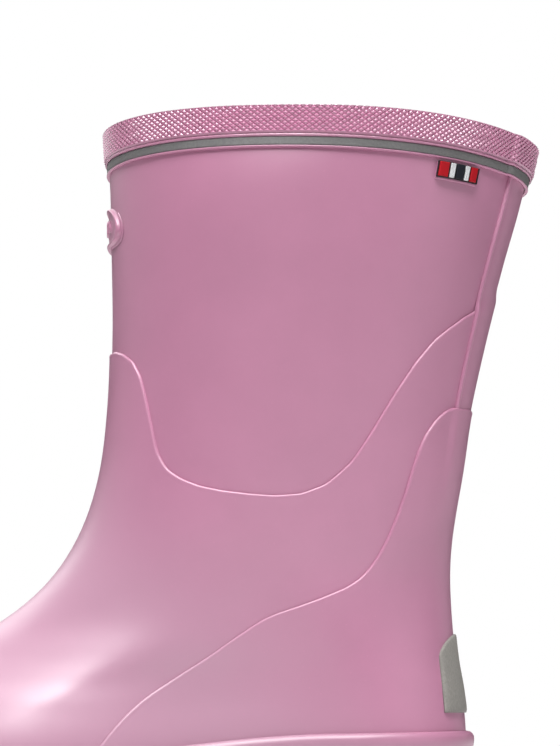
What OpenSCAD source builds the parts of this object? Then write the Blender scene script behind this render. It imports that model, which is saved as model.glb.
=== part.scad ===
// Child's rubber rain boot, left foot.
// X runs from heel to toe, +Y is the outer side of the leg, +Z is up.
// The origin is at ground level, in the middle of the overall length and width.

/* [Overall size, mm] */
// overall length, from the back of the collar to the toe
boot_l = 218; // [180:1:270]
// overall height, from the ground to the front of the rim
boot_h = 200; // [150:1:300]
// width of the leg opening over the rubber
leg_w = 84; // [65:1:110]

/* [Wall, mm] */
// thickness of the main rubber ply
ply_t = 1.6; // [1:0.1:3]
// thickness of the knitted lining
lining_t = 1.1; // [0.6:0.1:2]
// thickness of the vamp and heel counter overlays
overlay_t = 0.7; // [0.4:0.1:1.5]
// thickness of the back stay strip
stay_t = 0.8; // [0.4:0.1:1.5]
// angle of the back stay's edge around the leg, in degrees
stay_angle = 27.5; // [15:0.5:40]
// thickness of the toe puff and heel stiffener inside the wall
stiffener_t = 0.6; // [0.3:0.1:1]

/* [Collar, mm] */
// height of the knurled part of the collar
knurl_h = 8; // [4:0.1:14]
// relief of the knurl
knurl_d = 0.55; // [0.2:0.05:1]
// number of knurl columns around the collar, an even number
knurl_n = 168; // [80:2:240]
// plain lip under the knurl
lip_h = 1.3; // [0.5:0.1:3]
// height of the woven tape
tape_h = 2.5; // [1.5:0.1:6]
// height of the bead under the tape
bead_h = 0.5; // [0.4:0.1:2]
// thickness of the collar band under the tape
band_t = 0.45; // [0.35:0.05:2]

/* [Sole, mm] */
// thickness of the foxing strip
foxing_t = 2; // [1:0.1:3]
// how far the outsole stands out past the upper
welt_w = 3.2; // [1:0.1:5]
// depth of the tread
tread_d = 3.4; // [2:0.1:5]
// thickness of the midsole
midsole_t = 3; // [2:0.1:5]
// thickness of the insole board
board_t = 1.9; // [1:0.1:3]
// thickness of the loose insole's foam
foam_t = 3.6; // [2:0.1:6]
// gap around the loose insole
insole_gap = 1.2; // [0.8:0.1:2]

/* [Badge and tag, mm] */
// height of the front badge's rim over the leg
badge_d = 1.2; // [1:0.1:3]
// thickness of the side tag's plate
tag_t = 0.8; // [0.4:0.1:1.5]
// relief of the bars on the tag
bar_d = 0.5; // [0.2:0.1:1]

/* [Hidden] */

kx = boot_l / 218;
kz = boot_h / 200;
ky = leg_w / 84;

// Rings of the rubber surface, from the feather line (0) to the rim (14):
// back x, back z, front x, front z, half width at heel and toe, share of the length taken by
// the round heel end, share where the round toe end starts, roundness of heel and toe ends,
// sag of the ring under its chord, sideways bend of the foot.
RINGS = [
    [-83.9, 17.0, 101.3, 13.5, 27.5, 35.0, 0.17, 0.70, 2.1, 2.1, 5.0, 1.0],
    [-85.2, 24.0, 103.5, 20.0, 29.0, 36.5, 0.17, 0.70, 2.1, 2.1, 5.0, 1.0],
    [-85.2, 33.0, 100.5, 31.0, 29.0, 35.0, 0.18, 0.68, 2.1, 2.05, 4.5, 1.0],
    [-84.3, 42.0, 91.5, 40.0, 28.5, 32.0, 0.20, 0.64, 2.05, 2.0, 3.8, 0.85],
    [-83.1, 49.5, 77.6, 45.6, 28.5, 30.0, 0.23, 0.60, 2.0, 2.0, 3.0, 0.6],
    [-82.3, 57.0, 60.2, 51.6, 29.0, 29.5, 0.28, 0.56, 2.0, 2.0, 2.2, 0.35],
    [-81.7, 65.0, 43.1, 59.6, 30.0, 29.5, 0.36, 0.53, 2.0, 2.0, 1.3, 0.15],
    [-81.7, 74.0, 29.4, 70.8, 31.2, 30.8, 0.44, 0.51, 2.0, 2.0, 0.5, 0],
    [-82.6, 85.0, 20.6, 84.3, 33.1, 32.6, 0.48, 0.50, 2.0, 2.0, 0, 0],
    [-84.8, 99.0, 15.3, 101.0, 34.8, 34.8, 0.50, 0.50, 2.0, 2.0, 0, 0],
    [-87.5, 118.0, 13.0, 120.5, 36.9, 36.9, 0.50, 0.50, 2.0, 2.0, 0, 0],
    [-92.6, 140.0, 12.6, 142.5, 39.3, 39.3, 0.50, 0.50, 2.0, 2.0, 0, 0],
    [-98.6, 162.0, 13.1, 164.5, 41.6, 41.6, 0.50, 0.50, 2.0, 2.0, 0, 0],
    [-104.1, 180.2, 13.6, 182.8, 42.2, 42.0, 0.50, 0.50, 1.87, 2.0, 0.17, 0],
    [-108.4, 197.5, 14.7, 200.3, 42.4, 38.8, 0.50, 0.50, 1.75, 2.0, 0.35, 0]
];
LAST = len(RINGS) - 1;
UNITS = [kx, kz, kx, kz, ky, ky, 1, 1, 1, 1, kz, ky];
// Moves the rings along X so that the finished boot is centred on the origin.
SHIFT = [1.75, 0, 1.75, 0, 0, 0, 0, 0, 0, 0, 0, 0];

// Height of one ring step under the rim, for turning millimetres into ring numbers.
rim_step = 17.4 * kz;

// Columns around one side, from the back (0 degrees) to the front (180 degrees).
SIDE = [
    0, 7, 14, 21, 27.5, 34, 40, 46, 52, 58, 64, 70, 77, 84, 92, 100, 108, 116, 123, 129,
    134, 138, 142, 146, 151, 158, 165, 172.5, 180
];
FULL = concat(SIDE, [for (i = [len(SIDE) - 2:-1:1]) 360 - SIDE[i]]);

// Upper edge of the vamp overlay: angle, ring number.
VAMP = [
    [0, 11.62], [14, 11.5], [27.5, 11.28], [34, 11.16], [41, 10.98], [46, 10.83], [52, 10.54],
    [58, 10.13], [64, 9.63], [70, 9.15], [77, 8.78], [84, 8.61], [92, 8.57], [100, 8.6],
    [108, 8.65], [116, 8.73], [123, 8.85], [129, 9.0], [134, 9.24], [138, 9.6], [142, 9.98],
    [146, 10.3], [151, 10.5], [158, 10.62], [165, 10.68], [180, 10.71]
];
// Upper edge of the heel counter.
COUNTER = [
    [0, 10.12], [14, 10.11], [22, 10.08], [30, 10.05], [34, 9.99], [38, 9.88], [41, 9.75],
    [44, 9.57], [46, 9.34], [48, 8.98], [50, 8.3], [52, 7.85], [55, 7.3], [58, 6.88],
    [62, 6.59], [68, 6.33], [73, 6.14], [78, 5.97], [81, 5.77], [84, 5.2], [87, 4.2],
    [90, 3.2], [93, 2.2], [96, 1.2], [98, 0.5]
];
COUNTER_END = 98;

function clamp(v, a, b) = min(max(v, a), b);
function ease(v) = let (c = clamp(v, 0, 1)) c * c * (3 - 2 * c);
function mix(a, b, f) = a + (b - a) * f;
// Angle folded onto one side, 0 to 180.
function fold(a) = let (m = a < 0 ? a + 360 : a) m > 180 ? 360 - m : m;

function ring_at(k) =
    k < 0 ? 2 * RINGS[0] - RINGS[1] :
    k > LAST ? 2 * RINGS[LAST] - RINGS[LAST - 1] : RINGS[k];
function ring(t) =
    let (
        i = clamp(floor(t), 0, LAST - 1),
        f = t - i,
        a = ring_at(i - 1),
        b = ring_at(i),
        c = ring_at(i + 1),
        d = ring_at(i + 2),
        r = 0.5 * (2 * b + (c - a) * f + (2 * a - 5 * b + 4 * c - d) * f * f
            + (3 * b - a - 3 * c + d) * f * f * f)
    )
    [for (k = [0:11]) r[k] * UNITS[k] + SHIFT[k]];

// Point on a ring at an angle around the boot.
function on_ring(a, r) =
    let (
        s = (1 - cos(a)) / 2,
        kh = clamp((r[6] - s) / r[6], 0, 1),
        kt = clamp((s - r[7]) / (1 - r[7]), 0, 1),
        end_h = s < r[6] ? pow(max(1 - pow(kh, r[8]), 0), 1 / r[8]) : 1,
        end_t = s > r[7] ? pow(max(1 - pow(kt, r[9]), 0), 1 / r[9]) : 1,
        w = mix(r[4], r[5], ease((s - 0.15) / 0.55)) * end_h * end_t,
        swing = sin(180 * clamp((s - 0.35) / 0.55, 0, 1)),
        bend = r[11] * (3 * swing * swing - 9 * ease((s - 0.62) / 0.38)),
        dip = sin(180 * clamp((s - 0.2) / 0.8, 0, 1))
    )
    [mix(r[0], r[2], s), (sin(a) >= 0 ? w : -w) + bend, mix(r[1], r[3], s) - r[10] * dip * dip];

function unit(v) = v / max(norm(v), 0.000001);
// Outward normal of the rubber surface.
function out(a, t) =
    let (
        r = ring(t),
        along = on_ring(a + 0.2, r) - on_ring(a - 0.2, r),
        up = on_ring(a, ring(t + 0.01)) - on_ring(a, ring(t - 0.01))
    )
    unit(cross(up, along));
// Point at an offset from the rubber surface.
function skin(a, t, d) = on_ring(a, ring(t)) + out(a, t) * d;

// Height of the feather line over a station along the boot, and the outline around it.
function feather_z(x) =
    let (
        r = ring(0),
        s = (x - r[0]) / (r[2] - r[0]),
        dip = sin(180 * clamp((s - 0.2) / 0.8, 0, 1))
    )
    mix(r[1], r[3], s) - r[10] * dip * dip;
function plan(a, d, t = 0) =
    let (
        r = ring(t),
        q = on_ring(a + 0.2, r) - on_ring(a - 0.2, r),
        n = unit([-q[1], q[0], 0])
    )
    on_ring(a, r) + n * d;
function level(a, d, z) = let (p = plan(a, d)) [p[0], p[1], feather_z(p[0]) + z];

function flat(rows) = [for (r = rows) each r];

// Closed solid between an outer and an inner grid of points, both given as rows from the
// bottom up. A closed grid goes all the way around and its inner grid may have fewer rows,
// an open one has two side edges.
module between(outer, inner, closed = true) {
    nr = len(outer);
    ni = len(inner);
    nc = len(outer[0]);
    base = nr * nc;
    last = closed ? nc - 1 : nc - 2;
    faces = [
        for (r = [0:nr - 2], c = [0:last]) let (e = (c + 1) % nc, p = r * nc, q = p + nc)
            each [[p + c, q + c, q + e], [p + c, q + e, p + e]],
        for (r = [0:ni - 2], c = [0:last])
            let (e = (c + 1) % nc, p = base + r * nc, q = p + nc)
            each [[p + c, q + e, q + c], [p + c, p + e, q + e]],
        for (c = [0:last])
            let (e = (c + 1) % nc, q = (nr - 1) * nc, k = base + (ni - 1) * nc)
            each [
                [c, e, base + e], [c, base + e, base + c],
                [q + c, k + e, q + e], [q + c, k + c, k + e]
            ],
        if (!closed) for (r = [0:nr - 2]) let (p = r * nc, q = p + nc, m = nc - 1)
            each [
                [p, base + p, base + q], [p, base + q, q],
                [p + m, base + q + m, base + p + m], [p + m, q + m, base + q + m]
            ]
    ];
    polyhedron(points = concat(flat(outer), flat(inner)), faces = faces, convexity = 12);
}

// Solid from a stack of rings with flat-lying ends, each end closed straight across.
module stack(rings) {
    nr = len(rings);
    nc = len(rings[0]);
    half = nc / 2;
    top = (nr - 1) * nc;
    faces = [
        for (r = [0:nr - 2], c = [0:nc - 1]) let (e = (c + 1) % nc, p = r * nc, q = p + nc)
            each [[p + c, q + c, q + e], [p + c, q + e, p + e]],
        for (c = [0:half - 1]) let (e = c + 1, m = (nc - c) % nc, k = nc - e)
            each concat(
                c == 0 ? [] : [[c, e, m], [top + c, top + m, top + e]],
                e == half ? [] : [[e, k, m], [top + e, top + m, top + k]]
            )
    ];
    polyhedron(points = flat(rings), faces = faces, convexity = 8);
}

// Share of the extra depth taken by the toe puff and the heel stiffener.
function puff_share(a, t) =
    ease((fold(a) - 112) / 22) * ease((4.3 - t) / 1.2) * ease((t - 0.25) / 0.3);
function heel_share(a, t) =
    ease((66 - fold(a)) / 18) * ease((6.6 - t) / 1.4) * ease((t - 0.25) / 0.3);
function lining_out(a, t) =
    ply_t + 0.05 + (stiffener_t + 0.05) * (puff_share(a, t) + heel_share(a, t));

module shell(cols, rows, d_out, d_in, closed = true) {
    between(
        [for (t = rows) [for (a = cols) skin(a, t, d_out)]],
        [for (t = rows) [for (a = cols) skin(a, t, d_in)]],
        closed
    );
}

module leg_upper() {
    color([0.72, 0.45, 0.56])
        shell(FULL, [5.6, 6.4, 7.2, 8, 8.8, 9.6, 10.5, 11.5, 12.5, 13.3, 14], 0, -ply_t);
}

module foot_ply() {
    color([0.7, 0.43, 0.54])
        shell(FULL, [0, 0.5, 1, 1.7, 2.4, 3.1, 3.8, 4.4, 5, 5.6], 0, -ply_t);
}

module lining(rows) {
    between(
        [for (t = rows) [for (a = FULL) skin(a, t, -lining_out(a, t))]],
        [for (t = rows) [for (a = FULL) skin(a, t, -lining_out(a, t) - lining_t)]]
    );
}

module leg_lining() {
    color([0.8, 0.78, 0.76])
        lining([5.6, 6.6, 7.6, 8.8, 10.5, 12.2, 13.92]);
}

module foot_lining() {
    color([0.8, 0.78, 0.76])
        lining([0.33, 0.7, 1.7, 2.4, 3.1, 3.8, 4.4, 5, 5.6]);
}

module toe_puff() {
    cols = [for (a = SIDE) if (a > 115) a];
    around = concat(cols, [for (i = [len(cols) - 2:-1:0]) 360 - cols[i]]);
    rows = [0.33, 0.7, 1.7, 2.4, 3.1, 3.8, 4.2];
    color([0.75, 0.7, 0.6])
        between(
            [for (t = rows) [for (a = around) skin(a, t, -ply_t - 0.02)]],
            [for (t = rows) [for (a = around)
                skin(a, t, -ply_t - 0.06 - stiffener_t * puff_share(a, t))]],
            false
        );
}

module heel_stiffener() {
    cols = [for (a = SIDE) if (a < 66) a];
    around = concat([for (i = [len(cols) - 1:-1:1]) -cols[i]], cols);
    rows = [0.33, 0.7, 1.7, 2.4, 3.1, 3.8, 4.4, 5, 5.6, 6.3];
    color([0.75, 0.7, 0.6])
        between(
            [for (t = rows) [for (a = around) skin(a, t, -ply_t - 0.02)]],
            [for (t = rows) [for (a = around)
                skin(a, t, -ply_t - 0.06 - stiffener_t * heel_share(a, t))]],
            false
        );
}

// Overlay with a shaped upper edge: rows are spread between the feather line and the edge.
module overlay(cols, edge, shares, d_out, d_in, closed) {
    tops = [for (a = cols) lookup(fold(a), edge)];
    between(
        [for (f = shares) [for (i = [0:len(cols) - 1]) skin(cols[i], tops[i] * f, d_out)]],
        [for (f = shares) [for (i = [0:len(cols) - 1]) skin(cols[i], tops[i] * f, d_in)]],
        closed
    );
}

module vamp_overlay() {
    color([0.74, 0.47, 0.58])
        overlay(
            FULL, VAMP, [0, 0.06, 0.13, 0.21, 0.3, 0.4, 0.5, 0.59, 0.67, 0.75, 0.83, 0.92, 1],
            overlay_t, 0.03, true
        );
}

module heel_counter() {
    cols = [for (a = SIDE) if (a < 60) a];
    more = concat(cols, [64, 70, 77, 81, 84, 88, 92, 95, COUNTER_END]);
    around = concat([for (i = [len(more) - 1:-1:1]) -more[i]], more);
    color([0.7, 0.44, 0.54])
        overlay(
            around, COUNTER, [0, 0.12, 0.25, 0.38, 0.5, 0.62, 0.74, 0.87, 1],
            2 * overlay_t, overlay_t + 0.03, false
        );
}

// Depth of the surface under the back stay: it climbs over the vamp's edge.
function stay_seat(t) = overlay_t * ease((11.75 - t) / 0.3) + 0.03;

module back_stay() {
    around = [for (i = [-5:5]) i * stay_angle / 5];
    rows = [10.16, 10.6, 11.1, 11.4, 11.55, 11.7, 11.9, 12.4, 12.9, 13.4, LAST - 0.02];
    color([0.66, 0.42, 0.51])
        between(
            [for (t = rows) [for (a = around)
                skin(a, t, stay_seat(t) + (abs(a) > stay_angle - 0.1 ? 0.5 : 1) * stay_t)]],
            [for (t = rows) [for (a = around) skin(a, t, stay_seat(t))]],
            false
        );
}

// Depth of the surface under the foxing: the heel counter adds a layer at the back.
function foxing_seat(a) = overlay_t * (1 + ease((COUNTER_END + 4 - fold(a)) / 4)) + 0.03;

// Ring number of the foxing's upper edge, where the toe bumper starts.
FOXING_TOP = 1.78;

module foxing_strip() {
    rows = [[0, 1], [0.7, 1], [1.4, 0.9], [FOXING_TOP, 0.7]];
    foot = -midsole_t + 0.03;
    color([0.68, 0.42, 0.53])
        between(
            concat(
                [[for (a = FULL) level(a, foxing_seat(a) + foxing_t, foot)]],
                [for (r = rows) [for (a = FULL)
                    skin(a, r[0], foxing_seat(a) + foxing_t * r[1])]]
            ),
            concat(
                [[for (a = FULL) level(a, foxing_seat(a), foot)]],
                [for (r = rows) [for (a = FULL) skin(a, r[0], foxing_seat(a))]]
            )
        );
}

module toe_bumper() {
    cols = [for (a = SIDE) if (a > 115) a];
    around = concat(cols, [for (i = [len(cols) - 2:-1:0]) 360 - cols[i]]);
    foot = FOXING_TOP + 0.05;
    bumper_t = 1.1;
    function top(a) = 1.95 + 1.35 * ease((fold(a) - 110) / 45);
    color([0.68, 0.42, 0.53])
        between(
            [for (f = [0, 0.33, 0.67, 1]) [for (a = around)
                skin(a, mix(foot, top(a), f), overlay_t + 0.03 + bumper_t * (1 - 0.3 * f))]],
            [for (f = [0, 0.33, 0.67, 1]) [for (a = around)
                skin(a, mix(foot, top(a), f), overlay_t + 0.03)]],
            false
        );
}

// Heel reflector: angle of its side edges, ring numbers of its foot and of its top corners,
// and the rise of its arched top.
REFLECTOR_A = 23.5;
REFLECTOR_FOOT = 2.3;
REFLECTOR_TOP = 4.1;
REFLECTOR_ARCH = 0.95;

module heel_reflector() {
    around = [for (i = [-6:6]) i * REFLECTOR_A / 6];
    function top(a) = REFLECTOR_TOP
        + REFLECTOR_ARCH * sqrt(max(1 - pow(abs(a) / (REFLECTOR_A + 0.1), 2.6), 0));
    color([0.55, 0.54, 0.52])
        between(
            [for (f = [0, 0.25, 0.5, 0.75, 1]) [for (a = around)
                skin(a, mix(REFLECTOR_FOOT, top(a), f), 2 * overlay_t + 0.9)]],
            [for (f = [0, 0.25, 0.5, 0.75, 1]) [for (a = around)
                skin(a, mix(REFLECTOR_FOOT, top(a), f), 2 * overlay_t + 0.03)]],
            false
        );
}

// Ring numbers of the collar's levels, from the rim down.
function below(h) = LAST - h / rim_step;
lip_foot = below(knurl_h + lip_h);
tape_top = below(knurl_h + lip_h + 0.1);
tape_foot = below(knurl_h + lip_h + 0.1 + tape_h);
bead_top = below(knurl_h + lip_h + 0.16 + tape_h);
bead_mid = below(knurl_h + lip_h + 0.15 + tape_h + bead_h / 2);
collar_foot = below(knurl_h + lip_h + 0.2 + tape_h + bead_h);

// How far the collar's layers stand out where they pass over the back stay.
function rise(a) = (stay_t + 0.12) * ease((stay_angle + 4 - fold(a)) / 3.5);
function collar_row(cols, t, d) = [for (a = cols) skin(a, t, d + rise(a))];

module collar_band() {
    rows = [
        [collar_foot, band_t + 0.1], [bead_mid, band_t + 0.45], [bead_top, band_t + 0.35],
        [tape_foot, band_t], [tape_top, band_t], [below(4), band_t], [LAST, band_t]
    ];
    color([0.74, 0.5, 0.6])
        between(
            [for (r = rows) collar_row(FULL, r[0], r[1])],
            [for (t = [collar_foot, 13.6, LAST]) collar_row(FULL, t, 0.02)]
        );
}

module collar_tape() {
    rows = [tape_foot + 0.004, mix(tape_foot, tape_top, 0.5), tape_top - 0.004];
    color([0.52, 0.52, 0.52])
        between(
            [for (t = rows) collar_row(FULL, t, band_t + 0.38)],
            [for (t = rows) collar_row(FULL, t, band_t + 0.03)]
        );
}

module collar_knurl() {
    cols = [for (i = [0:knurl_n - 1]) i * 360 / knurl_n];
    low = band_t + 0.6;
    diamonds = [for (k = [0:9]) below(knurl_h - 0.1 - k * (knurl_h - 0.3) / 9)];
    outer = concat(
        [collar_row(cols, lip_foot, low - 0.1)],
        [collar_row(cols, mix(lip_foot, diamonds[0], 0.6), low + 0.2)],
        [for (k = [0:9]) [for (i = [0:knurl_n - 1])
            skin(cols[i], diamonds[k], low + rise(cols[i]) + ((i + k) % 2 == 0 ? knurl_d : 0))]],
        [collar_row(cols, LAST, low)]
    );
    color([0.7, 0.42, 0.53])
        between(outer, [for (t = [lip_foot, LAST]) collar_row(cols, t, band_t + 0.03)]);
}

// Front badge: ring number of its centre, half height in rings, half width in degrees, and
// how far its ends sit lower than its middle, in rings.
BADGE_T = 12.415;
BADGE_TALL = 0.3;
BADGE_WIDE = 18.2;
BADGE_DROOP = 0.144;
// Point on the front badge, a full oval: share of the radius, angle around it, offset.
function badge_at(r, g, d) =
    let (across = r * sign(cos(g)) * pow(abs(cos(g)), 0.72))
    skin(
        180 - BADGE_WIDE * across,
        BADGE_T + BADGE_TALL * r * sin(g) - BADGE_DROOP * across * across,
        d
    );
// Outline of the plain raindrop in the middle of the badge, as a share of the radius.
function drop_r(g) =
    (0.42 + 0.3 * pow(max(sin(g), 0), 7) - 0.1 * max(sin(g), 0)) * (1 - 0.62 * abs(cos(g)));

module front_badge() {
    turns = [for (i = [0:39]) i * 9];
    n = len(turns);
    field = badge_d / 2;
    top = badge_d - 0.1;
    outer = [
        [for (g = turns) badge_at(1, g, 0.03)],
        [for (g = turns) badge_at(1, g, badge_d - 0.3)],
        [for (g = turns) badge_at(0.97, g, badge_d)],
        [for (g = turns) badge_at(0.87, g, badge_d)],
        [for (g = turns) badge_at(0.82, g, field)],
        [for (g = turns) badge_at(drop_r(g) + 0.05, g, field)],
        [for (g = turns) badge_at(drop_r(g), g, top - 0.1)],
        [for (g = turns) badge_at(0.7 * drop_r(g), g, top)]
    ];
    m = len(outer);
    top_row = (m - 1) * n;
    points = concat(flat(outer), [badge_at(0, 0, top), badge_at(0, 0, 0.03)]);
    faces = [
        for (k = [0:m - 2], i = [0:n - 1]) let (j = (i + 1) % n, p = k * n, q = p + n)
            each [[p + i, q + i, q + j], [p + i, q + j, p + j]],
        for (i = [0:n - 1]) let (j = (i + 1) % n)
            each [[top_row + i, m * n, top_row + j], [i, j, m * n + 1]]
    ];
    color([0.74, 0.48, 0.58])
        polyhedron(points = points, faces = faces, convexity = 8);
}

// Flat-edged patch of the side tag between two angles and two heights.
module tag_patch(a0, a1, t0, t1, d0, d1, n = 4) {
    cols = [for (i = [0:n]) mix(a0, a1, i / n)];
    shell(cols, [t0, t1], d1, d0, false);
}

// Side tag: angles of its rear and front edges, ring numbers of its foot and top, and the
// height of the backing's face.
tag_a0 = 44.3;
tag_a1 = 59.1;
tag_t0 = 12.98;
tag_t1 = 13.235;
tag_low = 0.4;

module tag_backing() {
    color([0.78, 0.52, 0.62])
        tag_patch(tag_a0 - 0.3, tag_a1 + 0.1, tag_t0 - 0.03, tag_t1 + 0.005, 0.03, tag_low);
}

module tag_plate() {
    color([0.06, 0.06, 0.07])
        tag_patch(tag_a0, tag_a1, tag_t0, tag_t1, tag_low + 0.02, tag_low + tag_t);
}

// Bar on the tag, placed by its share of the tag's length counted from the toe side.
module tag_bar(f0, f1) {
    tag_patch(
        mix(tag_a1, tag_a0, f1), mix(tag_a1, tag_a0, f0), tag_t0 + 0.012, tag_t1 - 0.014,
        tag_low + tag_t + 0.01, tag_low + tag_t + bar_d, 2
    );
}

module tag_bar_red_front() {
    color([0.7, 0.03, 0.08])
        tag_bar(0.01, 0.22);
}

module tag_bar_white_front() {
    color([0.9, 0.9, 0.9])
        tag_bar(0.26, 0.37);
}

module tag_bar_navy() {
    color([0.05, 0.07, 0.16])
        tag_bar(0.4, 0.585);
}

module tag_bar_white_rear() {
    color([0.9, 0.9, 0.9])
        tag_bar(0.615, 0.72);
}

module tag_bar_red_rear() {
    color([0.7, 0.03, 0.08])
        tag_bar(0.76, 0.925);
}

module midsole() {
    color([0.35, 0.3, 0.32])
        stack([
            [for (a = FULL) level(a, overlay_t - 0.1, 0.03 - midsole_t)],
            [for (a = FULL) level(a, overlay_t - 0.1, -0.03)]
        ]);
}

module insole_board() {
    color([0.6, 0.5, 0.38])
        stack([
            [for (a = FULL) level(a, -ply_t - 0.3, 0.02)],
            [for (a = FULL) level(a, -ply_t - 0.3, board_t)]
        ]);
}

insole_in = ply_t + lining_t + stiffener_t + 0.3 + insole_gap;

module insole_foam() {
    color([0.85, 0.82, 0.7])
        stack([
            [for (a = FULL) level(a, -insole_in - 0.8, board_t + 0.3)],
            [for (a = FULL) level(a, -insole_in, board_t + 1.3)],
            [for (a = FULL) level(a, -insole_in, board_t + 0.3 + foam_t)]
        ]);
}

module insole_cloth() {
    color([0.62, 0.6, 0.62])
        stack([
            [for (a = FULL) level(a, -insole_in, board_t + 0.32 + foam_t)],
            [for (a = FULL) level(a, -insole_in - 0.2, board_t + 1.1 + foam_t)]
        ]);
}

// Side view of the sole's underside: heel flat, raised waist, ball flat, toe spring.
function under(x) =
    let (
        waist = sin(180 * clamp((x + 32 * kx) / (44 * kx), 0, 1)),
        toe = clamp((x - 66 * kx) / (40 * kx), 0, 1)
    )
    2.4 * waist * waist + 6.5 * kz * toe * toe;

// Stations along the boot at which the sole's slabs are cut.
xs = [
    for (i = [0:9]) mix(-92, -36, i / 9) * kx,
    for (i = [0:8]) mix(-32, 12, i / 8) * kx,
    for (i = [1:5]) mix(12, 66, i / 5) * kx,
    for (i = [1:8]) mix(66, 110, i / 8) * kx
];

// Upright slab with a curved lower and upper side, across the whole width.
module slab(low, high, side = 60) {
    pts = concat(
        [for (i = [0:len(xs) - 1]) [xs[i], low[i]]],
        [for (i = [len(xs) - 1:-1:0]) [xs[i], high[i]]]
    );
    rotate([90, 0, 0])
        linear_extrude(height = 2 * side, center = true)
            polygon(pts);
}

module sole_outline(d) {
    polygon([for (a = FULL) let (p = plan(a, d)) [p[0], p[1]]]);
}

// Oval sponge filler in the heel: place of its centre along X, half length, half width and
// height of its foot over the tread's roots.
FILLER_X = -57;
FILLER_L = 24;
FILLER_W = 18;
FILLER_Z = 2.2;

module heel_filler_shape(gap) {
    translate([0, 0, tread_d + FILLER_Z - gap])
        linear_extrude(height = 30)
            polygon([
                for (a = [0:10:350])
                    [(FILLER_X + (FILLER_L + gap) * cos(a)) * kx, (FILLER_W + gap) * ky * sin(a)]
            ]);
}

module heel_filler() {
    color([0.2, 0.2, 0.22])
        intersection() {
            heel_filler_shape(-0.1);
            slab([for (x = xs) 0], [for (x = xs) feather_z(x) - midsole_t - 0.05]);
        }
}

// Tread: angled bars in two rows, eight pairs under the ball and five under the heel.
TREAD_PITCH = 11.4;
TREAD_BAR = 6.6;

// Pairs of bars: first station along X, count, distance from the middle, turn, length.
module tread_rows(x0, n, y, turn, long) {
    for (i = [0:n - 1], m = [-1, 1]) {
        translate([(x0 + i * TREAD_PITCH) * kx, m * y * ky])
            rotate(m * turn)
                square([TREAD_BAR, long], center = true);
    }
}

module tread_plan() {
    tread_rows(12, 8, 16, 28, 27);
    tread_rows(-81, 5, 14, 18, 23);
}

module outsole() {
    color([0.5, 0.27, 0.38])
        difference() {
            union() {
                intersection() {
                    linear_extrude(height = 40)
                        sole_outline(overlay_t + foxing_t + welt_w);
                    slab(
                        [for (x = xs) under(x) + tread_d],
                        [for (x = xs) feather_z(x) - midsole_t]
                    );
                }
                intersection() {
                    linear_extrude(height = 40)
                        intersection() {
                            sole_outline(overlay_t + foxing_t + welt_w - 1.5);
                            tread_plan();
                        }
                    slab([for (x = xs) under(x)], [for (x = xs) under(x) + tread_d + 0.6]);
                }
            }
            heel_filler_shape(0);
        }
}

outsole();
heel_filler();
midsole();
insole_board();
insole_foam();
insole_cloth();
foot_ply();
leg_upper();
foot_lining();
leg_lining();
toe_puff();
heel_stiffener();
vamp_overlay();
heel_counter();
back_stay();
foxing_strip();
toe_bumper();
heel_reflector();
collar_band();
collar_tape();
collar_knurl();
front_badge();
tag_backing();
tag_plate();
tag_bar_red_front();
tag_bar_white_front();
tag_bar_navy();
tag_bar_white_rear();
tag_bar_red_rear();
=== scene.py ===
"""Child's rubber rain boot: the looks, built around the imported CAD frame."""
import math

import bmesh
import bpy
import numpy as np
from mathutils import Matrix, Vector


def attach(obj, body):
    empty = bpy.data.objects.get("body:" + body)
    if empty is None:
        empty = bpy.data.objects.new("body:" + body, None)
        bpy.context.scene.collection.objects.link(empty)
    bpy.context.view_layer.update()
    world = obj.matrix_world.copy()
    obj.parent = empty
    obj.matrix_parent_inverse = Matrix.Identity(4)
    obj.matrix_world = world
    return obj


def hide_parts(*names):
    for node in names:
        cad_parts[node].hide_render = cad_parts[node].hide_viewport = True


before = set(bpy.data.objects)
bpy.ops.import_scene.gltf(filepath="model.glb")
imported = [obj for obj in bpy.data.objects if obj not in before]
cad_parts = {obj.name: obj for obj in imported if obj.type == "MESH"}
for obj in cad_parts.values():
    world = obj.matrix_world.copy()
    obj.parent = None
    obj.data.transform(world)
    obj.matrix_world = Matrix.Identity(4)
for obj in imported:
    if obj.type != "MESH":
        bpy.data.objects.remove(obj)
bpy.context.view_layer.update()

MM = 0.001
BOOT = "boot"
INSOLE = "insole"

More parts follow.
